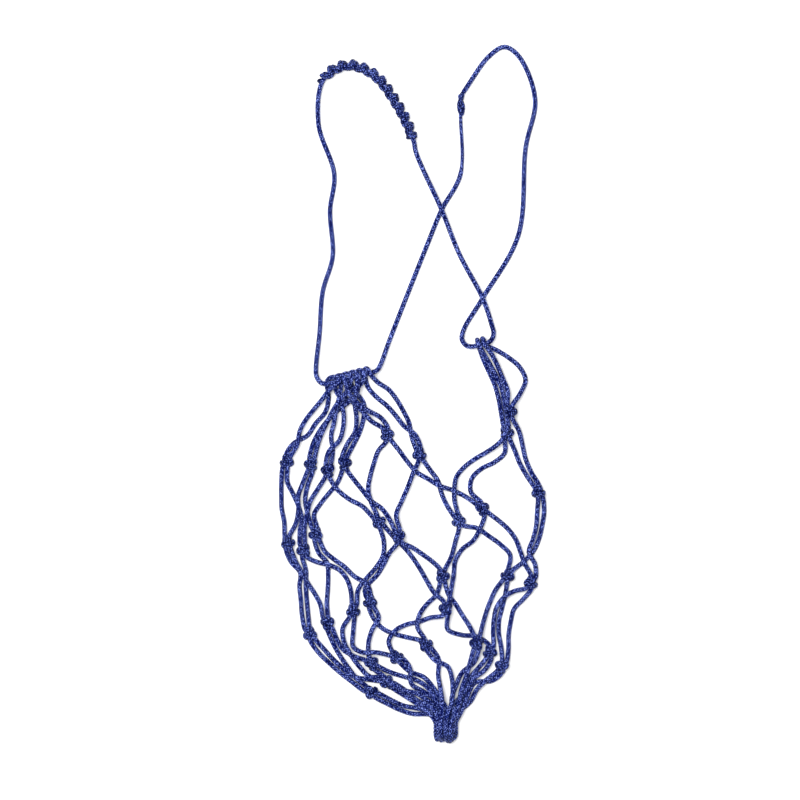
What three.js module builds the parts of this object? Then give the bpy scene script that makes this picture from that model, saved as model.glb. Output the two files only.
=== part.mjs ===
import * as THREE from 'three';

// A knotted cord net that lies flat on the floor: eight cords folded over a drawstring,
// four rounds of knots, and sixteen ends run together at the bottom tip.
// Millimetres, +Z up, mouth towards +Y. The origin is on the floor under the middle of the net and its grip.

// Cord and knots
const cordDiameter = 4.5;
const cordRadius = cordDiameter / 2;
const gap = 0.3;
const pitch = cordDiameter + gap;
const knotWall = 2.15;
const knotRadius = cordRadius + knotWall;
const knotLength = 10;
const knotLead = 1.5;
const cordSides = 8;
const flatShare = Math.cos(Math.PI / cordSides);
const cordStep = 13;
const stringStep = 15;

// How the cords settle on the floor: shares that a point moves per round, early and late
const settleRounds = 400;
const lateShare = 0.75;
const smoothing = { early: 0.15, late: 0.02 };
const homePull = { early: 0.08, late: 0.01 };
const weightDrop = 0.12;
const pushShare = 0.7;
const leastWeight = 0.2;
const nearEnough = 32;
const pairRounds = 20;

// Mouth: the drawstring runs through the folds on one straight line, which is the hinge line
const mouthX = -60;
const mouthY = 13.8;
const mouthTurn = THREE.MathUtils.degToRad(14.4);
const foldSlack = 0.45;
const foldRadius = pitch + foldSlack;
const mouthHeight = cordRadius + foldRadius;
const leftMargins = [-20, 23.5];
const rightMargins = [122.5, 134.8];

// Bottom tip: the sixteen ends lie in four layers
const tipX = 32;
const tipY = -321;
const tipLength = 8;
const layerRise = pitch * Math.sqrt(3) / 2;
const tipStretch = 8;
const tipBevel = 3;
const tipBulge = 1;
const tipShoulder = 1.5;

// Grip and joint knot on the drawstring
const gripDiameter = 10.5;
const gripHole = cordDiameter + 3 * gap;
const jointKnot = { x: 47, y: 275.3, length: 17, radius: 3.5, endRadius: 2.6, turn: -4 };

// The middle of the net and its grip, which the origin lies under
const middleX = 0.6;
const middleY = -8.3;

const blue = new THREE.Color(0x1f3f9e);

// Knots: [x, y, heading], heading in degrees from straight down (-Y) towards +X
const knots = {
  mouth_1: [93, -18, 0],
  mouth_2: [7, -58, 12],
  mouth_3: [-64, -67, 0],
  mouth_4: [-96, -68, -8],
  mouth_5: [-119, -65, -15],
  mouth_6: [-80, -74, -4],
  mouth_7: [-24, -39, 15],
  mouth_8: [90, -38, 6],
  upper_12: [44, -121, 25],
  upper_23: [-13, -136, 10],
  upper_34: [-91.5, -134, 12],
  upper_45: [-118, -142, 5],
  upper_56: [-103, -150, 10],
  upper_67: [-32, -122, 33],
  upper_78: [67, -110, 35],
  upper_81: [120, -94, 18],
  middle_1: [91, -173, -25],
  middle_2: [29, -174, 0],
  middle_3: [-40, -198, 15],
  middle_4: [-80, -219, 20],
  middle_5: [-97, -229, 25],
  middle_6: [-56, -207, -10],
  middle_7: [32, -205, -5],
  middle_8: [113, -180, -20],
  lower_12: [61, -238, -5],
  lower_23: [13, -239, 35],
  lower_34: [-38, -257, 45],
  lower_45: [-39, -284, 60],
  lower_56: [-23, -275, 60],
  lower_67: [-15, -251, 55],
  lower_78: [74, -246, -10],
  lower_81: [85, -260, -25],
};

// Places of the sixteen ends in the tip: [column, layer], columns counted from the middle
const slots = {
  '5-': [-1.5, 0], '4-': [-0.5, 0], '8-': [0.5, 0], '1-': [1.5, 0],
  '5+': [-2, 1], '4+': [-1, 1], '7-': [0, 1], '7+': [1, 1], '8+': [2, 1],
  '6-': [-1.5, 2], '3+': [-0.5, 2], '6+': [0.5, 2], '1+': [1.5, 2],
  '2+': [-1, 3], '3-': [0, 3], '2-': [1, 3],
};

// Route of each cord leg from its fold at the mouth, through four knots, to the tip: [x, y] or [x, y, z]
const legs = {
  '1+': [[78, 33], [83.5, 19.5], [90.5, 3], 'mouth_1', [91, -30, 14], [87, -43, 14], [74, -54], [55, -66],
    [43, -78], [40, -92, 8], [41, -106], 'upper_12', [57, -127], [71, -135], [84, -144], [95, -158],
    'middle_1', [80, -186], [72, -204], [67, -220], 'lower_12', [55, -255], [44, -272], [39, -290],
    [38, -305]],
  '1-': [[78, 42], [94, 32], [107, 18], [107, 8], [101, -3], 'mouth_1', [99, -30], [104, -44], [106, -56],
    [114, -78], 'upper_81', [125, -113], [122, -134], [115, -151], [103, -162], 'middle_1', [90, -187],
    [88, -196], [84.4, -208], [82, -222], [83, -236], [84, -246], 'lower_81', [74, -270], [61, -279],
    [51, -296], [44, -309]],
  '2+': [[-38, 14, 11], [-23, 4, 9], [-10, -14], [0, -37], 'mouth_2', [2, -71], [-2, -84], [-8, -99],
    [-15, -115], 'upper_23', [-1, -146], [15, -157], [25, -165], 'middle_2', [24, -190], [13, -202],
    [6, -213], [5, -223], 'lower_23', [22, -256], [26, -274], [28, -292], [29, -305]],
  '2-': [[-40, 2], [-26, -10], [-11, -27], 'mouth_2', [15, -70], [24, -84], [30, -101], [37, -113],
    'upper_12', [42, -136], [39, -152], [33, -162], 'middle_2', [34, -191], [45, -207], [56, -224],
    'lower_12', [57, -258], [49, -274], [45, -292], [43, -305]],
  '3+': [[-54, -5, 11], [-52, -24], [-57, -48], 'mouth_3', [-68, -79], [-75, -88], [-82, -99],
    [-91, -111], [-94, -121], 'upper_34', [-81, -153], [-68, -162], [-56, -173], [-46, -185], 'middle_3',
    [-32, -208], [-32, -215, 8], [-38, -225], [-42, -242], 'lower_34', [-23, -266], [-3, -271],
    [16, -279], [24, -294]],
  '3-': [[-47, -7], [-46, -25], [-53, -43], 'mouth_3', [-58, -79], [-48, -91], [-38, -103], [-25, -115],
    'upper_23', [-21, -151], [-30, -168], [-41, -184], 'middle_3', [-38, -212], [-28, -224], [-11, -231],
    'lower_23', [30, -254], [38, -272], [38, -292], [34, -305]],
  '4+': [[-53, 2], [-63, -9], [-78, -24], [-91, -42], 'mouth_4', [-104, -86], [-109, -101, 8],
    [-108, -118], 'upper_45', [-115, -157], [-105, -170], [-97, -184, 8], [-88, -198], 'middle_4',
    [-75, -236], [-66, -254], [-53, -271, 8], 'lower_45', [-8, -298], [10, -304], [19, -309]],
  '4-': [[-56, 5, 11], [-66, -7, 9], [-76, -20, 6], [-87, -40], 'mouth_4', [-96, -80], [-101, -92],
    [-101, -106], [-97, -121], 'upper_34', [-88, -153, 8], [-81, -163], [-80, -182], [-81, -204],
    'middle_4', [-72, -235], [-60, -248], 'lower_34', [-26, -270, 12], [-9, -282], [12, -291],
    [24, -303]],
  '5+': [[-81.5, 1.5, 11.5], [-86, -7, 10], [-100, -24], [-109, -42], 'mouth_5', [-118, -87],
    [-110, -101], [-105, -118], 'upper_56', [-101, -167], [-101, -184], [-99, -208], 'middle_5',
    [-85, -242], [-72, -256], [-53, -270], 'lower_56', [3, -292], [18, -301], [23, -307]],
  '5-': [[-80, -13], [-95, -33], [-106, -49], 'mouth_5', [-124, -87], [-124, -109], [-121, -126],
    'upper_45', [-107, -165, 8], [-107, -184], [-104, -210], 'middle_5', [-90, -245], [-74, -261],
    [-60, -272], 'lower_45', [-13, -300], [5, -306], [15, -309.5]],
  '6+': [[-71, -8], [-74, -26], [-78, -50], 'mouth_6', [-73, -89], [-61, -100], [-48, -107], 'upper_67',
    [-27, -140], [-28, -156], [-40, -174], [-50, -190], 'middle_6', [-55, -222], [-57, -238],
    [-47, -249, 10], [-32, -249], 'lower_67', [4, -264], [16, -277], [25, -292], [30, -306]],
  '6-': [[-66, -4, 10], [-64, -24], [-70, -47], 'mouth_6', [-88, -89], [-96, -101, 8], [-100, -116, 8],
    [-101, -130], 'upper_56', [-92, -160], [-78, -163, 8], [-65, -172], [-59, -185], 'middle_6',
    [-65, -219], [-65, -235], [-56, -252, 8], [-41, -267], 'lower_56', [0, -287], [16, -296], [22, -305]],
  '7+': [[-60, 3, 13], [-50, -8, 13], [-38, -20, 9], [-31, -28], 'mouth_7', [-15, -51], [-4, -65],
    [9, -77], [25, -87], [41, -94], [55, -101], 'upper_78', [66, -124], [61, -137], [48, -148],
    [41, -160], [38, -174], [34, -189], 'middle_7', [31, -220], [40, -229], [56, -230], [66, -234],
    'lower_78', [58, -268], [46, -286], [40, -305]],
  '7-': [[-68, -2], [-56, -12], [-44, -22], [-36, -29], 'mouth_7', [-29, -49], [-35, -63], [-40, -80],
    [-42, -93], [-38, -106], 'upper_67', [-20, -134], [-7, -147], [5, -163], [15, -180], [25, -194],
    'middle_7', [19, -213], [4, -218], [-11, -222], [-21, -232], [-22, -242], 'lower_67', [-7, -268],
    [8, -283], [22, -294], [31, -306]],
  '8+': [[70, 34], [76.5, 22], [84.5, 5], [88, -12, 6], [90, -25], 'mouth_8', [96, -50], [101, -64],
    [108, -77], 'upper_81', [119, -112], [117, -133], [111, -149], [112, -163], 'middle_8', [101, -197],
    [95.5, -210], [92.5, -226], [90, -243], 'lower_81', [77, -266], [64, -272], [54, -290], [45, -306]],
  '8-': [[66, 37], [72, 23], [79.8, 6.5], [84, -12], [86, -25], 'mouth_8', [90, -53], [81, -64],
    [66, -72], [56, -83], [56, -95], 'upper_78', [78, -118], [91, -129], [101, -144], [105, -159],
    'middle_8', [100, -187], [90, -191.5, 7], [82.5, -199, 5], [79, -209], [77, -222], [76.5, -234],
    'lower_78', [66, -261], [53, -279], [47, -298], [41, -307]],
};

// Where each cord is folded over the drawstring: [distance along the mouth line, how far the top leg leans
// ahead of the fold and the bottom leg behind it, leg that lies on top]
const folds = {
  5: [-15.5, 6, '+'], 7: [-8.9, 5, '+'], 6: [-2.3, 5, '-'],
  3: [4.6, 4.5, '+'], 4: [11.2, 4, '-'], 2: [18, 2.5, '+'],
  8: [127.2, 0, '+'], 1: [132.4, 0.4, '+'],
};

// Drawstring, from the joint knot round the loop and back to it: [x, y, z]
const stringStart = [
  [48, 284.8, 3.5], [73, 320], [88, 329], [102, 319.5], [117, 279], [108, 233], [101, 150], [67, 90],
  [49, 60, 3.4], [47.5, 50.5, 5.4], [52.2, 44.8, 7],
];
const stringMiddle = [
  [74.8, 49.7, 7.2], [77.4, 56, 6.4], [75, 67, 5], [67, 90, 7.3], [45, 132], [28, 174, 7.3], [4, 228, 3],
];
const gripRoute = [
  [1, 241, 5.4], [-14, 273, 5.4], [-37, 302.5, 5.4], [-62, 311, 5.4], [-84, 298, 5.4],
];
const stringLeft = [
  [-89, 256], [-74, 208], [-78, 173], [-75.5, 130], [-85, 96], [-88, 56], [-91.3, 24, 5.4],
  [-90.6, 15.5, 6.8], [-86, 9.5, 7.4],
];
const stringEnd = [
  [-33.2, 21.7, 7.4], [-30.2, 26.4, 6.4], [-21.5, 50, 3], [14, 140], [28, 174], [46, 208],
  [46, 266.4, 3.3],
];

function vector([x, y, z = cordRadius]) {
  return new THREE.Vector3(x, y, z);
}

// Unit steps along a knot (from the mouth towards the tip) and across it
function knotAxes(heading) {
  const turn = THREE.MathUtils.degToRad(heading);
  return {
    along: new THREE.Vector3(Math.sin(turn), -Math.cos(turn), 0),
    across: new THREE.Vector3(Math.cos(turn), Math.sin(turn), 0),
  };
}

const mouthAlong = new THREE.Vector3(Math.cos(mouthTurn), Math.sin(mouthTurn), 0);
const mouthAhead = new THREE.Vector3(-Math.sin(mouthTurn), Math.cos(mouthTurn), 0);

function onMouthLine(distance) {
  return new THREE.Vector3(mouthX, mouthY, mouthHeight).addScaledVector(mouthAlong, distance);
}

// The half turn of a cord over the drawstring, from the leg on the floor up to the leg on top
function foldPoints(cord) {
  const [distance, lean] = folds[cord];
  const points = [];
  for (let step = 0; step <= 4; step += 1) {
    const angle = (step / 4 - 0.5) * Math.PI;
    points.push(onMouthLine(distance + lean * Math.sin(angle))
      .addScaledVector(mouthAhead, foldRadius * Math.cos(angle))
      .add(new THREE.Vector3(0, 0, foldRadius * Math.sin(angle))));
  }
  return points;
}

// Which side of a knot each leg takes: the one whose neighbouring route points lie further across goes right
function knotSides() {
  const reach = {};
  for (const [name, route] of Object.entries(legs)) {
    route.forEach((item, index) => {
      if (typeof item !== 'string') {
        return;
      }
      const { across } = knotAxes(knots[item][2]);
      const near = [route[index - 1], route[index + 1]].filter((entry) => Array.isArray(entry));
      const centre = vector(knots[item]);
      const sum = near.reduce((total, entry) => total + vector(entry).sub(centre).dot(across), 0);
      reach[item] = reach[item] ?? [];
      reach[item].push([sum / near.length, name]);
    });
  }
  const sides = {};
  for (const [knot, entries] of Object.entries(reach)) {
    entries.sort((first, second) => first[0] - second[0]);
    sides[knot] = { [entries[0][1]]: -1, [entries[1][1]]: 1 };
  }
  return sides;
}

const sides = knotSides();

// Control points of one leg from the fold to the tip, with the knot each one belongs to
function legControls(name) {
  const controls = [];
  for (const item of legs[name]) {
    if (typeof item === 'string') {
      const [x, y, heading, z = knotRadius] = knots[item];
      const { along, across } = knotAxes(heading);
      for (const reach of [-1, 1]) {
        const point = new THREE.Vector3(x, y, z)
          .addScaledVector(across, sides[item][name] * pitch / 2)
          .addScaledVector(along, reach * (knotLength / 2 + knotLead));
        controls.push({ point, knot: item, anchor: true });
      }
    } else {
      controls.push({ point: vector(item), knot: null, anchor: false });
    }
  }
  const [column, layer] = slots[name];
  for (const reach of [tipStretch, 0]) {
    const point = new THREE.Vector3(tipX + column * pitch, tipY + reach, cordRadius + layer * layerRise);
    controls.push({ point, knot: 'tip', anchor: true });
  }
  return controls;
}

// Points along a smooth curve through the controls, evenly spread between anchors
function spread(controls, step) {
  const curve = new THREE.CatmullRomCurve3(controls.map((control) => control.point), false, 'centripetal');
  const spans = controls.length - 1;
  const pieces = 12;
  const nodes = [{ point: controls[0].point.clone(), knot: controls[0].knot, fixed: true }];
  let from = 0;
  while (from < spans) {
    let to = from + 1;
    while (!controls[to].anchor) {
      to += 1;
    }
    const fine = [];
    for (let index = 0; index <= (to - from) * pieces; index += 1) {
      fine.push(curve.getPoint((from + index / pieces) / spans));
    }
    const reached = [0];
    for (let index = 1; index < fine.length; index += 1) {
      reached.push(reached[index - 1] + fine[index].distanceTo(fine[index - 1]));
    }
    const length = reached[reached.length - 1];
    const shared = controls[from].knot === controls[to].knot ? controls[from].knot : null;
    const straight = shared in knots || shared === 'mouth_line';
    const count = straight ? 1 : Math.max(1, Math.round(length / step));
    for (let part = 1; part < count; part += 1) {
      const goal = length * part / count;
      const after = reached.findIndex((value) => value >= goal);
      const share = (goal - reached[after - 1]) / (reached[after] - reached[after - 1]);
      nodes.push({ point: fine[after - 1].clone().lerp(fine[after], share), knot: shared, fixed: false });
    }
    nodes.push({ point: controls[to].point.clone(), knot: controls[to].knot, fixed: controls[to].anchor });
    from = to;
  }
  return nodes;
}

// One cord from end to end: up one leg, round its fold, and down the other leg
function cordNodes(cord) {
  const [, , top] = folds[cord];
  const bottom = top === '+' ? '-' : '+';
  const fold = foldPoints(cord).map((point) => ({ point, knot: 'mouth_fold', anchor: true }));
  const up = legControls(`${cord}${bottom}`).reverse();
  const down = legControls(`${cord}${top}`);
  return spread([...up, ...fold, ...down], cordStep);
}

function gripControls() {
  const last = gripRoute.length - 1;
  return gripRoute.map((item, index) => ({
    point: vector(item), knot: 'grip', anchor: index === 0 || index === last,
  }));
}

function drawstringControls() {
  const free = (route) => route.map((item) => ({ point: vector(item), knot: null, anchor: false }));
  const pinned = (distance) => ({ point: onMouthLine(distance), knot: 'mouth_line', anchor: true });
  const controls = [
    ...free(stringStart), ...rightMargins.map(pinned), ...free(stringMiddle), ...gripControls(),
    ...free(stringLeft), ...leftMargins.map(pinned), ...free(stringEnd),
  ];
  controls[0].anchor = true;
  controls[controls.length - 1].anchor = true;
  return controls;
}

// Nearest points of two segments, as shares along each
function nearest(start, end, otherStart, otherEnd) {
  const first = end.clone().sub(start);
  const second = otherEnd.clone().sub(otherStart);
  const between = start.clone().sub(otherStart);
  const a = first.dot(first);
  const b = first.dot(second);
  const c = second.dot(second);
  const d = first.dot(between);
  const e = second.dot(between);
  const clamp = (value) => Math.min(1, Math.max(0, value));
  const bottom = a * c - b * b;
  let s = bottom > 1e-9 ? clamp((b * e - c * d) / bottom) : 0.5;
  const t = clamp((b * s + e) / c);
  s = clamp((b * t - d) / a);
  return [s, t];
}

// Lays the cords on the floor: each crossing keeps one cord clear above the other
function settle(cords, still, rounds) {
  const segments = [];
  const add = (nodes, cord) => {
    for (let index = 0; index + 1 < nodes.length; index += 1) {
      const [from, to] = [nodes[index], nodes[index + 1]];
      const inKnot = from.knot !== null && from.knot === to.knot && from.knot in knots;
      segments.push({ from, to, cord, index, inKnot, knots: [from.knot, to.knot] });
    }
  };
  cords.forEach((nodes, cord) => add(nodes, cord));
  add(still, -1);
  for (const nodes of cords) {
    for (const node of nodes) {
      node.home = node.point.clone();
      node.lift = node.knot in knots;
    }
  }
  for (const node of still) {
    node.fixed = true;
  }
  const members = {};
  for (const node of cords.flat()) {
    if (node.lift) {
      members[node.knot] = members[node.knot] ?? [];
      members[node.knot].push(node);
    }
  }
  let pairs = [];
  const findPairs = () => {
    pairs = [];
    for (let i = 0; i < segments.length; i += 1) {
      const one = segments[i];
      const middle = one.from.point.clone().add(one.to.point).multiplyScalar(0.5);
      for (let j = i + 1; j < segments.length; j += 1) {
        const two = segments[j];
        if (one.cord === two.cord && two.index - one.index < 2) {
          continue;
        }
        const other = two.from.point.clone().add(two.to.point).multiplyScalar(0.5);
        if (middle.distanceTo(other) < nearEnough) {
          pairs.push([one, two]);
        }
      }
    }
  };
  const weight = (node) => {
    if (node.lift) {
      return 1;
    }
    return node.fixed ? 0 : 1;
  };
  for (let round = 0; round < rounds; round += 1) {
    if (round % pairRounds === 0) {
      findPairs();
    }
    const late = round > rounds * lateShare;
    for (const nodes of cords) {
      for (let index = 1; index + 1 < nodes.length; index += 1) {
        const node = nodes[index];
        if (node.fixed) {
          continue;
        }
        const smooth = nodes[index - 1].point.clone().add(nodes[index + 1].point).multiplyScalar(0.5);
        const drop = late ? 0 : weightDrop;
        node.point.z += (smooth.z - node.point.z) * (late ? smoothing.late : smoothing.early) - drop;
        const pull = late ? homePull.late : homePull.early;
        node.point.x += (node.home.x - node.point.x) * pull;
        node.point.y += (node.home.y - node.point.y) * pull;
      }
    }
    for (const [one, two] of pairs) {
      const shared = one.knots.some((knot) => knot !== null && two.knots.includes(knot));
      const oneRadius = one.inKnot && !shared ? knotRadius : cordRadius;
      const twoRadius = two.inKnot && !shared ? knotRadius : cordRadius;
      const need = oneRadius + twoRadius + gap;
      const [s, t] = nearest(one.from.point, one.to.point, two.from.point, two.to.point);
      const near = one.from.point.clone().lerp(one.to.point, s);
      const push = near.sub(two.from.point.clone().lerp(two.to.point, t));
      const distance = push.length();
      if (distance >= need) {
        continue;
      }
      if (distance < 1e-6) {
        push.set(0, 0, one.from.point.z >= two.from.point.z ? 1 : -1);
      }
      push.normalize();
      const shares = [[one.from, 1 - s, 1], [one.to, s, 1], [two.from, 1 - t, -1], [two.to, t, -1]];
      const total = shares.reduce((sum, [node, share]) => sum + weight(node) * share * share, 0);
      for (const [node, share, sign] of shares) {
        const part = weight(node) * share / Math.max(total, leastWeight);
        const move = sign * (need - distance) * part * pushShare;
        node.point.z += push.z * move;
        if (!node.fixed) {
          node.point.x += push.x * move;
          node.point.y += push.y * move;
        }
      }
    }
    for (const group of Object.values(members)) {
      const height = group.reduce((sum, node) => sum + node.point.z, 0) / group.length;
      const level = Math.max(knotRadius, height - (late ? 0 : weightDrop));
      for (const node of group) {
        node.point.z = level;
      }
    }
    for (const node of cords.flat()) {
      node.point.z = Math.max(node.point.z, cordRadius);
    }
  }
  return members;
}

// A curve through given points, one step of a tube from each point to the next
class PointCurve extends THREE.Curve {
  constructor(points) {
    super();
    this.points = points;
  }

  getPointAt(share) {
    const place = share * (this.points.length - 1);
    const index = Math.min(Math.floor(place), this.points.length - 2);
    return this.points[index].clone().lerp(this.points[index + 1], place - index);
  }

  getTangentAt(share) {
    const index = Math.round(share * (this.points.length - 1));
    const before = this.points[Math.max(index - 1, 0)];
    const after = this.points[Math.min(index + 1, this.points.length - 1)];
    return after.clone().sub(before).normalize();
  }
}

function roundSection(radius, sideCount) {
  const corners = [];
  for (let index = 0; index < sideCount; index += 1) {
    const angle = (index + 0.5) / sideCount * 2 * Math.PI;
    corners.push(new THREE.Vector2(radius * Math.cos(angle), radius * Math.sin(angle)));
  }
  return corners;
}

// Outline round two cords that lie side by side, with flat faces above and below
function pairOutline(radius) {
  const corners = [];
  for (const [from, centre] of [[-90, pitch / 2], [90, -pitch / 2]]) {
    for (let step = 0; step <= 4; step += 1) {
      const angle = THREE.MathUtils.degToRad(from + step * 45);
      corners.push(new THREE.Vector2(centre + radius * Math.cos(angle), radius * Math.sin(angle)));
    }
  }
  return corners;
}

function ropeMaterial() {
  return new THREE.MeshStandardMaterial({ color: blue, roughness: 0.5, metalness: 0 });
}

function addPiece(group, name, geometry) {
  const mesh = new THREE.Mesh(geometry, ropeMaterial());
  mesh.name = name;
  group.add(mesh);
  return mesh;
}

function tube(points, radius, holeRadius = 0) {
  const section = new THREE.Shape(roundSection(radius, cordSides));
  if (holeRadius > 0) {
    section.holes.push(new THREE.Path(roundSection(holeRadius, cordSides)));
  }
  return new THREE.ExtrudeGeometry(section, {
    steps: points.length - 1,
    extrudePath: new PointCurve(points),
    bevelEnabled: false,
  });
}

function knotCollar() {
  const section = new THREE.Shape(pairOutline(knotRadius));
  section.holes.push(new THREE.Path(pairOutline((cordRadius + gap) / flatShare)));
  const geometry = new THREE.ExtrudeGeometry(section, { depth: knotLength, bevelEnabled: false });
  geometry.translate(0, 0, -knotLength / 2);
  geometry.rotateX(Math.PI / 2);
  return geometry;
}

function buildCords(net) {
  const cords = [1, 2, 3, 4, 5, 6, 7, 8].map((cord) => cordNodes(cord));
  const string = spread(drawstringControls(), stringStep);
  const members = settle(cords, string, settleRounds);
  cords.forEach((nodes, index) => {
    addPiece(net, `net_cord_${index + 1}`, tube(nodes.map((node) => node.point), cordRadius));
  });
  for (const [name, [x, y, heading]] of Object.entries(knots)) {
    const collar = addPiece(net, `knot_${name}`, knotCollar());
    collar.position.set(x, y, members[name][0].point.z);
    collar.rotation.z = THREE.MathUtils.degToRad(heading);
  }
  return string;
}

// A rounded block that the sixteen ends run into
function buildTip(net) {
  const half = 2 * pitch + cordRadius;
  const top = 2 * cordRadius + 3 * layerRise;
  const outline = new THREE.Shape();
  outline.moveTo(-half, 0);
  outline.lineTo(half, 0);
  outline.lineTo(half + tipBulge, top / 2);
  outline.lineTo(half - tipShoulder, top);
  outline.lineTo(tipShoulder - half, top);
  outline.lineTo(-half - tipBulge, top / 2);
  const geometry = new THREE.ExtrudeGeometry(outline, {
    depth: tipLength - tipBevel,
    bevelEnabled: true,
    bevelSize: tipBevel,
    bevelThickness: tipBevel,
    bevelOffset: -tipBevel,
    bevelSegments: 2,
  });
  geometry.rotateX(Math.PI / 2);
  const tip = addPiece(net, 'bottom_tip', geometry);
  tip.position.set(tipX, tipY - tipBevel - gap, 0);
}

function buildDrawstring(handle, string) {
  addPiece(handle, 'drawstring', tube(string.map((node) => node.point), cordRadius));
  const held = string.filter((node) => node.knot === 'grip').map((node) => node.point);
  addPiece(handle, 'grip', tube(held, gripDiameter / 2, gripHole / 2 / flatShare));
  const { length, radius, endRadius } = jointKnot;
  const profile = [[0, -length / 2], [endRadius, -length / 2], [radius, -length / 6], [radius, length / 6],
    [endRadius, length / 2], [0, length / 2]].map(([x, y]) => new THREE.Vector2(x, y));
  const knot = addPiece(handle, 'joint_knot', new THREE.LatheGeometry(profile, 10));
  knot.position.set(jointKnot.x, jointKnot.y, radius);
  knot.rotation.z = THREE.MathUtils.degToRad(jointKnot.turn);
}

const hayNet = new THREE.Group();
const laid = new THREE.Group();
laid.position.set(-middleX, -middleY, 0);
hayNet.add(laid);
const string = buildCords(laid);
buildTip(laid);
buildDrawstring(laid, string);

export default hayNet;
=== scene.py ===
"""The looks of a knotted cord net: braided cords, tight overhand knots, a half-hitched grip and a lapped
joint. Metres, +Z up. The net lies on the floor at z = 0 and its mouth faces +Y."""
import math

import bpy
import numpy as np
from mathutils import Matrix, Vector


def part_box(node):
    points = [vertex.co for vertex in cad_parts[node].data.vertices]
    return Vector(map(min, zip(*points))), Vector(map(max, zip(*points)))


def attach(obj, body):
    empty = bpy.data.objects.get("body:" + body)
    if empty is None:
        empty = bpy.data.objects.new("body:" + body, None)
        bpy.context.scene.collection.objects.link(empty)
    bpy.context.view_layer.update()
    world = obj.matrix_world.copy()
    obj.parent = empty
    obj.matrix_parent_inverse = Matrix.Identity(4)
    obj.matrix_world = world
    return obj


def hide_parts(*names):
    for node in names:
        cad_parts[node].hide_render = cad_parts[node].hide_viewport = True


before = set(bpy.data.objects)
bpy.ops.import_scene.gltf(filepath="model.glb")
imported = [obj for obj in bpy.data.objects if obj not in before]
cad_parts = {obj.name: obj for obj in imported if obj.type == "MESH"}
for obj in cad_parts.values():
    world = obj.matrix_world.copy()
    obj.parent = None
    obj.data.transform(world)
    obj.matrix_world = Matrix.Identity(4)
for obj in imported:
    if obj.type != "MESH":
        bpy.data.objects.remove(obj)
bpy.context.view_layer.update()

MM = 0.001
CORD = 4.5 * MM
RADIUS = CORD / 2
PITCH = 4.8 * MM                 # centre distance of two cords that lie side by side
SIDES = 24                       # corners of a cord's section
RING_STEP = 0.58 * MM            # distance between a cord's rings
BRAID_STRANDS = 5                # carriers that run each way round the cord
BRAID_LAY = 13 * MM              # length of one full turn of a carrier
BRAID_RELIEF = 0.24 * MM         # height of a carrier above its neighbours
FLOOR_GAP = 0.02 * MM            # the lowest that a cord's surface comes to the floor

# The origin's place in the layout that the drawstring's points are given in
MIDDLE = np.array((0.6, -8.3, 0.0)) * MM

# Drawstring route, the same points as the CAD model's
STRING_START = (
    (0.048, 0.2848, 0.0035), (0.073, 0.32), (0.088, 0.329), (0.102, 0.3195), (0.117, 0.279),
    (0.108, 0.233), (0.101, 0.15), (0.067, 0.09), (0.049, 0.06, 0.0034), (0.0475, 0.0505, 0.0054),
    (0.0522, 0.0448, 0.007),
)
STRING_MIDDLE = (
    (0.0748, 0.0497, 0.0072), (0.0774, 0.056, 0.0064), (0.075, 0.067, 0.005), (0.067, 0.09, 0.0073),
    (0.045, 0.132), (0.028, 0.174, 0.0073), (0.004, 0.228, 0.003),
)
GRIP_ROUTE = (
    (0.001, 0.241, 0.0054), (-0.014, 0.273, 0.0054), (-0.037, 0.3025, 0.0054), (-0.062, 0.311, 0.0054),
    (-0.084, 0.298, 0.0054),
)
STRING_LEFT = (
    (-0.089, 0.256), (-0.074, 0.208), (-0.078, 0.173), (-0.0755, 0.13), (-0.085, 0.096), (-0.088, 0.056),
    (-0.0913, 0.024, 0.0054), (-0.0906, 0.0155, 0.0068), (-0.086, 0.0095, 0.0074),
)
STRING_END = (
    (-0.0332, 0.0217, 0.0074), (-0.0302, 0.0264, 0.0064), (-0.0215, 0.05, 0.003), (0.014, 0.14),
    (0.028, 0.174), (0.046, 0.208), (0.046, 0.2664, 0.0033),
)
MOUTH = np.array((-60, 13.8, 7.5)) * MM
MOUTH_TURN = math.radians(14.4)
MOUTH_ALONG = np.array((math.cos(MOUTH_TURN), math.sin(MOUTH_TURN), 0.0))

# Straight stretches through the mouth folds, as distances along the mouth line
RIGHT_PINS = np.array((122.5, 126, 131, 134.8)) * MM
LEFT_PINS = np.array((-20, -16, -5, 7, 19, 23.5)) * MM


# ---------------------------------------------------------------- lines

CURVE_SHARES = 24                # fine points between two control points


def smooth_line(points, step):
    """Evenly spaced points on a centripetal Catmull-Rom curve through the given points."""
    pts = np.asarray(points, float)
    pts = np.vstack((2 * pts[0] - pts[1], pts, 2 * pts[-1] - pts[-2]))
    fine = []
    t = np.linspace(0, 1, CURVE_SHARES, endpoint=False)[:, None]
    for p0, p1, p2, p3 in zip(pts, pts[1:], pts[2:], pts[3:]):
        gaps = (p1 - p0, p2 - p1, p3 - p2)
        d0, d1, d2 = (max(float(np.linalg.norm(gap)), 1e-9) ** 0.5 for gap in gaps)
        m1 = ((p1 - p0) / d0 - (p2 - p0) / (d0 + d1) + (p2 - p1) / d1) * d1
        m2 = ((p2 - p1) / d1 - (p3 - p1) / (d1 + d2) + (p3 - p2) / d2) * d1
        fine.append((2 * t**3 - 3 * t**2 + 1) * p1 + (t**3 - 2 * t**2 + t) * m1
                    + (3 * t**2 - 2 * t**3) * p2 + (t**3 - t**2) * m2)
    fine = np.vstack((*fine, pts[-2][None]))
    return even_line(fine, step)


def distances_along(line):
    """Each point's distance from the line's start, measured along it."""
    return np.concatenate(([0], np.cumsum(np.linalg.norm(np.diff(line, axis=0), axis=1))))


def at_distances(goal, reach, vectors):
    """The vectors that stand at the reach distances, read at the goal distances."""
    return np.column_stack([np.interp(goal, reach, vectors[:, k]) for k in range(3)])


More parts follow.
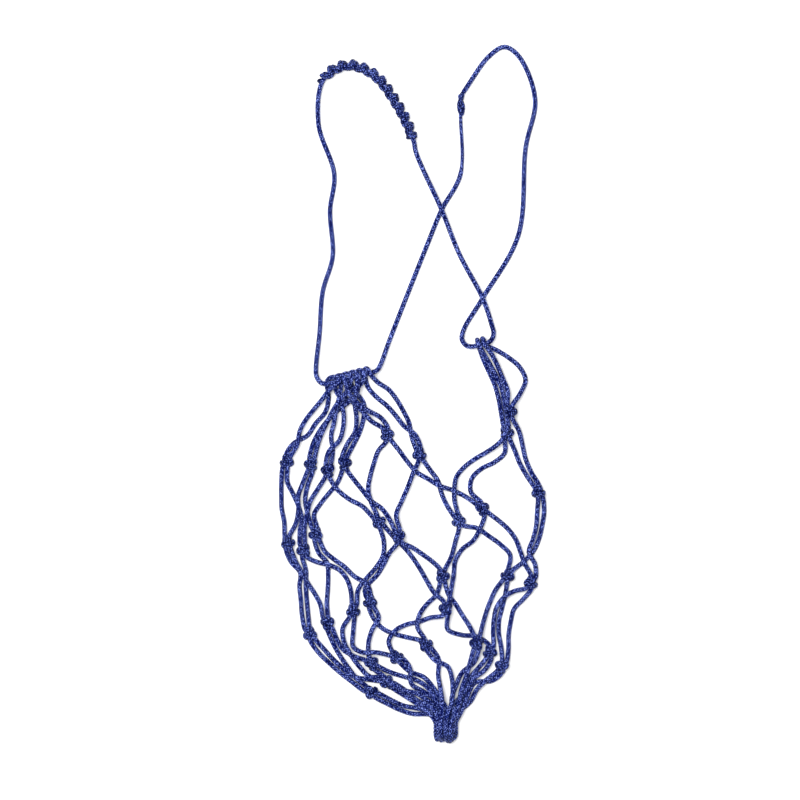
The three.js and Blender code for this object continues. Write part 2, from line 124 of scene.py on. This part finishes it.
def even_line(line, step):
    """The line with its points one step apart."""
    reach = distances_along(line)
    count = max(2, int(round(reach[-1] / step)) + 1)
    return at_distances(np.linspace(0, reach[-1], count), reach, line)


def turning_frames(line):
    """Two side vectors at each point, carried along the line without twist."""
    tangent = np.gradient(line, axis=0)
    tangent /= np.linalg.norm(tangent, axis=1)[:, None]
    side = np.cross(tangent[0], (0.0, 0.0, 1.0))
    if np.linalg.norm(side) < 1e-3:
        side = np.array((1.0, 0.0, 0.0))
    sides = np.empty_like(line)
    for index, ahead in enumerate(tangent):
        side = side - ahead * side.dot(ahead)
        side = side / np.linalg.norm(side)
        sides[index] = side
    return sides, np.cross(tangent, sides)


WELD = 0.004 * MM                # CAD corners closer than this are one corner
CAP_LEVEL = 0.02 * MM            # corners of an end cap differ less than this in Y


def welded(node):
    """A CAD node's corners with repeats merged, and each corner's neighbours."""
    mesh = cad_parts[node].data
    corners = {}
    places = []
    index_of = []
    for vertex in mesh.vertices:
        key = tuple(round(value / WELD) for value in vertex.co)
        if key not in corners:
            corners[key] = len(places)
            places.append(tuple(vertex.co))
        index_of.append(corners[key])
    near = [set() for _ in places]
    for polygon in mesh.polygons:
        ring = [index_of[v] for v in polygon.vertices]
        for one, two in zip(ring, ring[1:] + ring[:1]):
            if one != two:
                near[one].add(two)
                near[two].add(one)
    return np.array(places), near


def tube_line(node, cap_sides=8):
    """The centreline of a CAD tube: the middles of its rings, walked from the cap with the lowest Y."""
    places, near = welded(node)
    start = int(np.argmin(places[:, 1] + places[:, 0] * 1e-4))
    level = places[start, 1]
    cap = {start}
    grown = [start]
    while grown:
        corner = grown.pop()
        for other in near[corner]:
            if other not in cap and abs(places[other, 1] - level) < CAP_LEVEL:
                cap.add(other)
                grown.append(other)
    assert len(cap) == cap_sides, (node, len(cap))
    seen = set(cap)
    ring = cap
    middles = []
    while ring:
        middles.append(places[sorted(ring)].mean(axis=0))
        after = set().union(*(near[corner] for corner in ring)) - seen
        seen |= after
        ring = after
    return np.array(middles)


# ---------------------------------------------------------------- meshes

def tube_mesh(name, line, radius, material, turn=0.0):
    """A braided cord with rounded ends along a line. radius is one number or one per point, and turn shifts
    the braid along the cord. The UV map counts carriers: U round the cord and V along it."""
    line = np.asarray(line)
    radius = np.broadcast_to(np.asarray(radius, float), (len(line),)).copy()
    reach = distances_along(line)
    for end_reach in (reach, reach[-1] - reach):
        near = end_reach < radius
        radius[near] *= np.sqrt(np.clip(1 - (1 - end_reach[near] / radius[near]) ** 2, 0.02, 1))
    side, up = turning_frames(line)
    angle = np.linspace(0, 2 * math.pi, SIDES, endpoint=False)
    around = angle[None, :] / (2 * math.pi) * BRAID_STRANDS
    along = reach[:, None] / BRAID_LAY * BRAID_STRANDS + turn
    bumps = np.abs(np.cos(math.pi * (around + along)) * np.cos(math.pi * (around - along)))
    relief = BRAID_RELIEF * np.minimum(1, radius[:, None] / (0.6 * RADIUS))
    size = radius[:, None] + relief * (bumps ** 0.6 - 0.5)
    points = (line[:, None, :] + side[:, None, :] * (size * np.cos(angle))[..., None]
              + up[:, None, :] * (size * np.sin(angle))[..., None])
    return grid_mesh(name, points, around, along, material)


def grid_mesh(name, points, around, along, material):
    """Rings of points closed to a capped tube, kept above the floor, with its braid UV map."""
    rings, sides = points.shape[:2]
    verts = points.reshape(-1, 3)
    verts[:, 2] = np.maximum(verts[:, 2], FLOOR_GAP)
    index = np.arange(rings * sides).reshape(rings, sides)
    after = np.roll(index, -1, axis=1)
    quads = np.stack((index[:-1], after[:-1], after[1:], index[1:]), axis=-1).reshape(-1, 4)
    mesh = bpy.data.meshes.new(name)
    mesh.vertices.add(len(verts))
    mesh.vertices.foreach_set("co", verts.astype(np.float32).ravel())
    caps = (index[0][::-1], index[-1])
    loops = np.concatenate((quads.ravel(), caps[0], caps[1]))
    sizes = np.concatenate((np.full(len(quads), 4), (sides, sides)))
    mesh.loops.add(len(loops))
    mesh.loops.foreach_set("vertex_index", loops.astype(np.int32))
    mesh.polygons.add(len(sizes))
    mesh.polygons.foreach_set("loop_start", np.concatenate(([0], np.cumsum(sizes)[:-1])).astype(np.int32))
    mesh.update(calc_edges=True)
    mesh.polygons.foreach_set("use_smooth", np.ones(len(sizes), dtype=bool))
    ring_u = np.broadcast_to(around, (rings, sides))
    ring_v = np.broadcast_to(along, (rings, sides))
    u_low = ring_u[:-1]
    u_high = u_low + BRAID_STRANDS / sides
    corner_u = np.stack((u_low, u_high, u_high, u_low), axis=-1).reshape(-1)
    corner_v = np.stack((ring_v[:-1], ring_v[:-1], ring_v[1:], ring_v[1:]), axis=-1).reshape(-1)
    uv = mesh.uv_layers.new(name="braid")
    corners = np.zeros((len(loops), 2), dtype=np.float32)
    corners[:len(corner_u), 0] = corner_u
    corners[:len(corner_u), 1] = corner_v
    uv.data.foreach_set("uv", corners.ravel())
    mesh.materials.append(material)
    mesh.validate()
    piece = bpy.data.objects.new(name, mesh)
    bpy.context.collection.objects.link(piece)
    return piece


def joined(name, pieces):
    """Several meshes as one piece."""
    bpy.ops.object.select_all(action="DESELECT")
    for piece in pieces:
        piece.select_set(True)
    bpy.context.view_layer.objects.active = pieces[0]
    bpy.ops.object.join()
    pieces[0].name = name
    pieces[0].data.name = name
    return pieces[0]


# ---------------------------------------------------------------- materials

class Nodes:
    """Short-hand for building a node tree."""

    def __init__(self, name):
        self.material = bpy.data.materials.new(name)
        self.material.use_nodes = True
        self.tree = self.material.node_tree
        self.shader = self.tree.nodes["Principled BSDF"]

    def add(self, kind, **settings):
        node = self.tree.nodes.new(kind)
        for key, value in settings.items():
            setattr(node, key, value)
        return node

    def link(self, source, target):
        self.tree.links.new(source, target)

    def value(self, operation, first, second=None, third=None):
        node = self.add("ShaderNodeMath", operation=operation)
        for socket, item in zip(node.inputs, (first, second, third)):
            if item is None:
                continue
            if isinstance(item, (int, float)):
                socket.default_value = item
            else:
                self.link(item, socket)
        return node.outputs[0]

    def ramp(self, source, stops):
        node = self.add("ShaderNodeValToRGB")
        elements = node.color_ramp.elements
        while len(elements) < len(stops):
            elements.new(0.5)
        for element, (place, color) in zip(elements, stops):
            element.position = place
            element.color = (*color, 1)
        self.link(source, node.inputs[0])
        return node.outputs[0]


SPECKLE_SCALE = 720              # of the noise that breaks the blue up at random; where it lifts the tone past the light stop it paints glints, a painted highlight
PATCH_SCALE = 55                 # of the slow changes along a cord
SPECKLE_SHARE = 5.4              # how much each of them moves the tone
PATCH_SHARE = 0.5
# how much the weave's height moves the tone: painted shade in the seams, painted highlight on the crowns
WEAVE_SHADE_SHARE = 1.1
TONE_SHIFT = -0.14
FILAMENT_SHARE = 0.12            # height of a carrier's fine strands beside its own
BUMP_DEPTH = 0.45 * MM


def braid_material(name, deep, middle, light, glint, roughness=0.36):
    """Braided glossy filament: diamonds with painted highlight on their crowns and painted shade in their
    seams, fine strands, speckle that varies the blue at random and adds painted glints, and slow colour
    changes.
    """
    nodes = Nodes(name)
    place = nodes.add("ShaderNodeUVMap", uv_map="braid")
    split = nodes.add("ShaderNodeSeparateXYZ")
    nodes.link(place.outputs[0], split.inputs[0])
    around, along = split.outputs[0], split.outputs[1]
    one = nodes.value("ADD", around, along)
    two = nodes.value("SUBTRACT", around, along)
    wave_one = nodes.value("ABSOLUTE", nodes.value("COSINE", nodes.value("MULTIPLY", one, math.pi)))
    wave_two = nodes.value("ABSOLUTE", nodes.value("COSINE", nodes.value("MULTIPLY", two, math.pi)))
    diamond = nodes.value("MULTIPLY", wave_one, wave_two)
    # Which way the top carrier runs in each diamond, and the fine strands along it
    parity = nodes.value("PINGPONG", nodes.value("FLOOR", nodes.value("ADD", one, 0.5)), 1.0)
    strand_one = nodes.value("SINE", nodes.value("MULTIPLY", one, 6 * math.pi))
    strand_two = nodes.value("SINE", nodes.value("MULTIPLY", two, 6 * math.pi))
    strand = nodes.add("ShaderNodeMix", data_type="FLOAT")
    nodes.link(parity, strand.inputs[0])
    nodes.link(strand_one, strand.inputs[2])
    nodes.link(strand_two, strand.inputs[3])
    coords = nodes.add("ShaderNodeTexCoord")
    speckle = nodes.add("ShaderNodeTexNoise")
    speckle.inputs["Scale"].default_value = SPECKLE_SCALE
    speckle.inputs["Detail"].default_value = 1.5
    nodes.link(coords.outputs["Object"], speckle.inputs["Vector"])
    patches = nodes.add("ShaderNodeTexNoise")
    patches.inputs["Scale"].default_value = PATCH_SCALE
    patches.inputs["Detail"].default_value = 2.0
    nodes.link(coords.outputs["Object"], patches.inputs["Vector"])
    height = nodes.value("MULTIPLY_ADD", strand.outputs[0], FILAMENT_SHARE, diamond)
    grain = nodes.value("SUBTRACT", speckle.outputs["Fac"], 0.5)
    drift = nodes.value("SUBTRACT", patches.outputs["Fac"], 0.5)
    # The tone paints the weave's shading into the colour: painted shade where the height is low, painted
    # highlight where it is high
    tone = nodes.value("MULTIPLY_ADD", height, WEAVE_SHADE_SHARE, TONE_SHIFT)
    tone = nodes.value("MULTIPLY_ADD", grain, SPECKLE_SHARE, tone)
    tone = nodes.value("MULTIPLY_ADD", drift, PATCH_SHARE, tone)
    # Colour stops: painted shade in the seams, the cord's own blue, painted highlight on the crowns, painted
    # glints at the top
    color = nodes.ramp(tone, ((0.0, deep), (0.45, middle), (0.8, light), (1.0, glint)))
    nodes.link(color, nodes.shader.inputs["Base Color"])
    rough = nodes.value("MULTIPLY_ADD", speckle.outputs["Fac"], 0.3, roughness - 0.15)
    nodes.link(rough, nodes.shader.inputs["Roughness"])
    bump = nodes.add("ShaderNodeBump")
    bump.inputs["Strength"].default_value = 1.0
    bump.inputs["Distance"].default_value = BUMP_DEPTH
    nodes.link(nodes.value("MULTIPLY_ADD", speckle.outputs["Fac"], 0.5, height), bump.inputs["Height"])
    nodes.link(bump.outputs[0], nodes.shader.inputs["Normal"])
    nodes.shader.inputs["Specular IOR Level"].default_value = 0.06
    return nodes.material


# Each blue runs from painted seam shade through the cord's own blue to painted crown highlight and painted
# glints
CORD_BLUE = braid_material("cord_blue", (0.0, 0.001, 0.045), (0.001, 0.010, 0.145), (0.021, 0.042, 0.27),
                           (0.23, 0.30, 0.76))
# A darker copy of the cord blue, painted shade for the tightly bunched cord of the knots, hitches, lapped
# joint and gathered ends
SHADED_KNOT_BLUE = braid_material("shaded_knot_blue", (0.0, 0.001, 0.025), (0.001, 0.006, 0.10), (0.011, 0.025, 0.20),
                           (0.15, 0.21, 0.60))
# A darker, glossier blue for the cut ends that stick out of the grip
DARK_END_BLUE = braid_material("dark_end_blue", (0.0, 0.001, 0.02), (0.002, 0.006, 0.06), (0.010, 0.018, 0.12),
                          (0.06, 0.08, 0.22), 0.25)


# ---------------------------------------------------------------- net cords

CORD_NODES = [f"net_cord_{number}" for number in range(1, 9)]
KNOT_NODES = sorted(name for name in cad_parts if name.startswith("knot_"))
cad_lines = {name: tube_line(name) for name in CORD_NODES}

KNOT_REACH = 6.5 * MM            # from a CAD knot's middle to the cord points at its two ends
REACH_MATCH = 0.25 * MM          # how well those points match their distance from the middle
LENGTH_MATCH = 0.3 * MM          # and their distance from each other


def knot_frame(node):
    """A knot's middle, the step along it, the step across it, and the two cord stretches inside it, each
    as its cord's name and the number of the stretch's first point."""
    low, high = (np.array(corner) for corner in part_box(node))
    middle = (low + high) / 2
    reach = math.hypot(KNOT_REACH, PITCH / 2)
    passes = []
    for name, line in cad_lines.items():
        near = np.abs(np.linalg.norm(line - middle, axis=1) - reach) < REACH_MATCH
        for index in range(len(line) - 1):
            span = np.linalg.norm(line[index + 1] - line[index])
            if near[index] and near[index + 1] and abs(span - 2 * KNOT_REACH) < LENGTH_MATCH:
                passes.append((name, index))
    assert len(passes) == 2, (node, passes)
    name, index = passes[0]
    along = cad_lines[name][index + 1] - cad_lines[name][index]
    along[2] = 0
    along /= np.linalg.norm(along)
    if along[1] > 0:
        along = -along
    across = np.array((-along[1], along[0], 0.0))
    return middle, along, across, passes


knots = {node: knot_frame(node) for node in KNOT_NODES}

KNOT_SQUEEZE = 1.75 * MM         # half the distance between the two cords inside a knot
KNOT_LIFT = 0.7 * MM             # the cords inside a knot ride this much above its middle
KNOT_EDGE_LIFT = 0.3 * KNOT_LIFT     # and this much at its two ends
KNOT_HALF = 3.2 * MM             # half the length over which they are squeezed

inserts = {name: {} for name in CORD_NODES}
for node, (middle, along, across, passes) in knots.items():
    for name, index in passes:
        line = cad_lines[name]
        centre = (line[index] + line[index + 1]) / 2
        side = math.copysign(1, (centre - middle).dot(across))
        travel = line[index + 1] - line[index]
        travel /= np.linalg.norm(travel)
        spot = middle + across * side * KNOT_SQUEEZE + np.array((0, 0, KNOT_LIFT))
        inserts[name][index] = (spot - travel * KNOT_HALF, spot + travel * KNOT_HALF)


def shown_line(name):
    """A net cord's smooth centreline, drawn in where it passes its knots."""
    points = []
    for index, point in enumerate(cad_lines[name]):
        at_knot = index in inserts[name] or index - 1 in inserts[name]
        points.append(point + np.array((0, 0, KNOT_EDGE_LIFT)) if at_knot else point)
        points.extend(inserts[name].get(index, ()))
    return smooth_line(points, RING_STEP)


for number, name in enumerate(CORD_NODES):
    cord = tube_mesh(f"braided_{name}", shown_line(name), RADIUS, CORD_BLUE, turn=0.37 * number)
    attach(cord, "net")
    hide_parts(name)


# ---------------------------------------------------------------- knots

WRAP_RADIUS = 2.2 * MM           # half the thickness of the turns' cord
WRAP_ACROSS = 1.75 * MM          # size of the turns across the cords, along them and in height
WRAP_ALONG = 1.72 * MM
WRAP_HIGH = 2.9 * MM
WRAP_LOW = 1.35 * MM             # the lowest that the turns' centreline comes to the floor
WRAP_TILTS = (-34, 8, 25, -12, 40, -22, 16)     # degrees, one knot after another


def knot_wrap(node, number):
    """The overhand turns pulled tight round the pair of cords: three lobes, and the bands that cross on
    top."""
    middle, along, across, _ = knots[node]
    mirror = 1 if number % 2 else -1
    tilt = math.radians(WRAP_TILTS[number % len(WRAP_TILTS)])
    turned_along = along * math.cos(tilt) + across * math.sin(tilt)
    turned_across = across * math.cos(tilt) - along * math.sin(tilt)
    angle = np.linspace(0, 2 * math.pi, 140) + math.pi / 6
    side = mirror * WRAP_ACROSS * (np.sin(angle) + 2 * np.sin(2 * angle))
    run = WRAP_ALONG * (np.cos(angle) - 2 * np.cos(2 * angle) - 0.3)
    line = (middle + np.array((0, 0, KNOT_LIFT)) + turned_along * run[:, None] + turned_across * side[:, None]
            - np.array((0, 0, 1.0)) * (WRAP_HIGH * np.sin(3 * angle))[:, None])
    line[:, 2] = np.maximum(line[:, 2], WRAP_LOW)
    line = even_line(line, RING_STEP)
    return tube_mesh(f"wrapped_{node}", line, WRAP_RADIUS, SHADED_KNOT_BLUE, turn=0.23 * number)


for number, node in enumerate(KNOT_NODES):
    wrap = knot_wrap(node, number)
    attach(wrap, "net")
    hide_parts(node)


# ---------------------------------------------------------------- drawstring

def in_world(route):
    """Route points as world places; a point without a height lies on the floor."""
    return [np.array(point if len(point) == 3 else (*point, RADIUS)) - MIDDLE for point in route]


def on_mouth_line(distances):
    """World places at the given distances along the mouth line."""
    return [MOUTH - MIDDLE + MOUTH_ALONG * distance for distance in distances]


string_controls = [
    *in_world(STRING_START), *on_mouth_line(RIGHT_PINS), *in_world(STRING_MIDDLE), *in_world(GRIP_ROUTE),
    *in_world(STRING_LEFT), *on_mouth_line(LEFT_PINS), *in_world(STRING_END),
]
string_line = smooth_line(string_controls, RING_STEP)

# The last stretch below the joint is worn thin
THIN_LENGTH = 58 * MM
THIN_EASE = 8 * MM               # length over which it gets thinner
THIN_SHARE = 0.26                # how much of its radius is gone
from_end = np.linalg.norm(string_line - string_line[-1], axis=1)
last_part = np.arange(len(string_line)) > len(string_line) * 0.9
thin = np.where(last_part, np.clip((THIN_LENGTH - from_end) / THIN_EASE, 0, 1), 0)
string_radius = RADIUS * (1 - THIN_SHARE * thin)

drawstring = tube_mesh("braided_drawstring", string_line, string_radius, CORD_BLUE)
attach(drawstring, "carry_loop")
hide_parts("drawstring")


# ---------------------------------------------------------------- grip

HITCH_PITCH = 10.5 * MM          # length of drawstring that one turn takes
HITCH_SHIFT = 0.13 * HITCH_PITCH     # each strand lies this far from the middle of the pair
HITCH_CENTRE = 3.0 * MM          # from the drawstring's middle to the strand's, level
HITCH_HIGH = 1.05 * HITCH_CENTRE     # and upright
HITCH_EAR = 1.3 * MM             # how much further the ears stand out
HITCH_SMALL_EAR = 0.2 * MM
HITCH_RADIUS = 2.1 * MM
HITCH_STEPS = 46                 # points in one turn
HITCH_LOW = 1.3 * MM             # the lowest that the strand's centreline comes to the floor
HELD_SHIFT = -2.3 * MM           # the held cord lies to the inner side of the arc
HELD_RISE = 1.9 * MM             # and above the middle
HELD_WAVES = 12.5                # the hitches press this many waves into it
HELD_SWAY = 0.35 * MM
HELD_LIFT = 0.9 * MM


def nearest_index(line, point):
    """The number of the line's point that is nearest to the given one."""
    return int(np.argmin(np.linalg.norm(line - point, axis=1)))


grip_from = nearest_index(string_line, in_world(GRIP_ROUTE)[0])
grip_to = nearest_index(string_line, in_world(GRIP_ROUTE)[-1])
core = string_line[grip_from:grip_to + 1]


def ridge_frames(line):
    """Two side vectors for the grip: level, pointing to the outer side of its arc, and the one above."""
    tangent = np.gradient(line, axis=0)
    tangent /= np.linalg.norm(tangent, axis=1)[:, None]
    out = np.cross(np.array((0.0, 0.0, 1.0)), tangent)
    out /= np.linalg.norm(out, axis=1)[:, None]
    return -out, np.cross(tangent, -out)


def hitch_strand(name, way, ear_size, material):
    """One strand of the grip's half hitches. Two strands wind opposite ways, so they zigzag over the top,
    and the one with the larger ear stands out at the outer side of the arc."""
    out, up = ridge_frames(core)
    reach = distances_along(core)
    turns = int(round(reach[-1] / HITCH_PITCH))
    share = np.linspace(0, 1, turns * HITCH_STEPS)
    angle = 2 * math.pi * turns * share
    along = share * (reach[-1] - 2 * HITCH_RADIUS) + HITCH_RADIUS + way * HITCH_SHIFT
    at = np.clip(along, 0, reach[-1])
    middle, outward, upward = (at_distances(at, reach, vectors) for vectors in (core, out, up))
    ear = np.clip(np.cos(angle), 0, 1) ** 2
    size = HITCH_CENTRE + ear_size * ear
    line = (middle + outward * (size * np.cos(angle))[:, None]
            + upward * (way * HITCH_HIGH * np.sin(angle))[:, None])
    line[:, 2] = np.maximum(line[:, 2], HITCH_LOW)
    return tube_mesh(name, even_line(line, RING_STEP), HITCH_RADIUS, material, turn=way)


def held_cord(name, material):
    """The cord that the hitches hold against the inner side of the grip's arc."""
    out, up = ridge_frames(core)
    wave = np.sin(np.linspace(0, 2 * math.pi * HELD_WAVES, len(core)))[:, None]
    line = core + out * (HELD_SHIFT + HELD_SWAY * wave) + up * (HELD_RISE + HELD_LIFT * wave)
    return tube_mesh(name, line[6:-6], 0.8 * RADIUS, material, turn=0.4)


def stub(name, point, heading, length, material):
    """A short cut cord end that sticks out of a knot."""
    ahead = np.array((math.cos(heading), math.sin(heading), 0.12))
    line = [np.array(point) - MIDDLE + ahead * reach for reach in np.linspace(0, length, 12)]
    return tube_mesh(name, even_line(np.array(line), RING_STEP), 0.85 * RADIUS, material)


grip = joined("hitched_grip", [
    hitch_strand("hitch_over", 1, HITCH_EAR, SHADED_KNOT_BLUE),
    hitch_strand("hitch_under", -1, HITCH_SMALL_EAR, SHADED_KNOT_BLUE),
    held_cord("held_cord", CORD_BLUE),
    stub("stub_left", (-0.0855, 0.2975, 0.005), math.radians(200), 5 * MM, DARK_END_BLUE),
    stub("stub_right", (0.0005, 0.2435, 0.005), math.radians(190), 6.5 * MM, DARK_END_BLUE),
])
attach(grip, "carry_loop")
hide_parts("grip")


# ---------------------------------------------------------------- joint of the drawstring

LAP_LONG = (
    (0.0482, 0.2865, 0.0036), (0.0472, 0.281, 0.0042), (0.045, 0.275, 0.0046), (0.0452, 0.2695, 0.0042),
    (0.0464, 0.2655, 0.0034),
)
LAP_STUB = (
    (0.0455, 0.2845, 0.0028), (0.0462, 0.279, 0.0026), (0.0482, 0.273, 0.0027), (0.0478, 0.267, 0.0029),
    (0.0466, 0.2635, 0.0032),
)

joint = joined("lapped_joint", [
    tube_mesh("lap_long", smooth_line(in_world(LAP_LONG), RING_STEP), RADIUS * 0.95, SHADED_KNOT_BLUE),
    tube_mesh("lap_stub", smooth_line(in_world(LAP_STUB), RING_STEP), RADIUS * 0.9, SHADED_KNOT_BLUE),
])
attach(joint, "carry_loop")
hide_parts("joint_knot")


# ---------------------------------------------------------------- cord ends at the tip

TIP_X = 0.032 - MIDDLE[0]        # the ends close up towards this X
END_REACH = 9.3 * MM
END_SPREAD = 1.4 * MM            # the ends differ in reach by up to this much either way
# Along an end: how far it has closed up, run on and come down, as shares of the whole
END_CURL = ((0.02, 0.35, 0.05), (0.10, 0.72, 0.30), (0.22, 1, 0.75))


def tip_ends():
    """The sixteen ends run on past the strands, close up and curl under at the tip."""
    pieces = []
    for strand in cad_lines.values():
        for end, inner in ((strand[0], strand[1]), (strand[-1], strand[-2])):
            number = len(pieces)
            column = end[0] - TIP_X
            reach = END_REACH + END_SPREAD * math.sin(2.4 * number)
            drop = end[2] - RADIUS
            points = [end + (inner - end) * 0.2]
            for close, run, fall in END_CURL:
                points.append(end - np.array((close * column, run * reach, fall * drop)))
            line = smooth_line(points, RING_STEP)
            pieces.append(tube_mesh(f"end_{number}", line, RADIUS * 0.98, SHADED_KNOT_BLUE))
    return joined("gathered_cord_ends", pieces)


ends = tip_ends()
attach(ends, "net")
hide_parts("bottom_tip")


# ---------------------------------------------------------------- camera, light, floor

CAMERA_HEIGHT = 3.0
FRAME_WIDTH = 0.760              # what the picture spans at the cords' height
SENSOR = 36                      # millimetres, as Blender counts it
camera_data = bpy.data.cameras.new("camera")
camera_data.sensor_width = SENSOR
camera_data.lens = SENSOR * (CAMERA_HEIGHT - 0.005) / FRAME_WIDTH
camera = bpy.data.objects.new("camera", camera_data)
camera.location = (-0.012, 0.00165, CAMERA_HEIGHT)
bpy.context.collection.objects.link(camera)
bpy.context.scene.camera = camera


def area_light(name, place, size, power):
    """A square lamp that faces the origin."""
    data = bpy.data.lights.new(name, "AREA")
    data.shape = "SQUARE"
    data.size = size
    data.energy = power
    lamp = bpy.data.objects.new(name, data)
    lamp.location = place
    x, y, z = place
    lamp.rotation_euler = (math.atan2(math.hypot(x, y), z), 0, math.atan2(y, x) + math.pi / 2)
    bpy.context.collection.objects.link(lamp)


area_light("key", (-0.45, 0.25, 2.4), 1.5, 84)

world = bpy.data.worlds.new("studio")
world.use_nodes = True
world.node_tree.nodes["Background"].inputs["Color"].default_value = (1, 1, 1, 1)
world.node_tree.nodes["Background"].inputs["Strength"].default_value = 0.42
bpy.context.scene.world = world

FLOOR_EDGE = 6.0                 # from the origin to the floor's sides
floor_corners = [(x * FLOOR_EDGE, y * FLOOR_EDGE, 0) for x, y in ((-1, -1), (1, -1), (1, 1), (-1, 1))]
floor_mesh = bpy.data.meshes.new("floor")
floor_mesh.from_pydata(floor_corners, [], [(0, 1, 2, 3)])
floor_nodes = Nodes("white_paper")
floor_nodes.shader.inputs["Base Color"].default_value = (0.97, 0.97, 0.97, 1)
floor_nodes.shader.inputs["Roughness"].default_value = 0.9
floor_nodes.shader.inputs["Specular IOR Level"].default_value = 0.1
floor_mesh.materials.append(floor_nodes.material)
floor = bpy.data.objects.new("floor", floor_mesh)
bpy.context.collection.objects.link(floor)

bpy.context.scene.view_settings.view_transform = "Standard"
